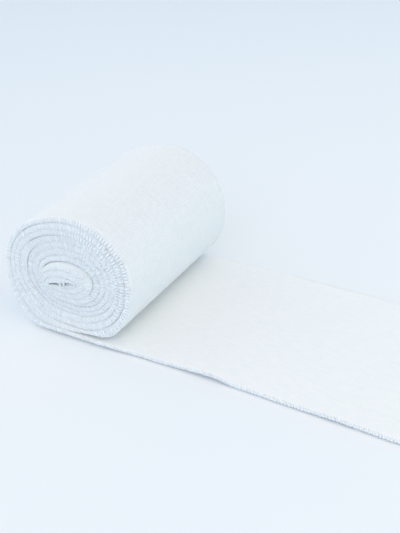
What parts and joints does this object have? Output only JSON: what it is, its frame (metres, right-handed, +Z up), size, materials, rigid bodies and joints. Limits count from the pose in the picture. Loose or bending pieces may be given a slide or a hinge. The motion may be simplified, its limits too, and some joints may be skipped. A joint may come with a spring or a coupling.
{
  "type": "elastic bandage roll",
  "caption": "Soft roll of undyed elastic crepe bandage with its loose end laid out flat, for wrapping a limb or joint.",
  "frame": {"origin": "bottom centre of the whole piece's box, on the surface it rests on", "axes": "+X along the loose end, away from the roll; Y along the roll's axis, with the eye and the pictured end towards -Y; +Z up"},
  "size_m": [0.183, 0.0816, 0.0498],
  "materials": {
    "crepe_cloth": "undyed cotton and elastic crepe, matt, with a fine open weave and looped selvedges"
  },
  "bodies": {
    "root": {"bandage": "crepe_cloth"}
  },
  "joints": []
}
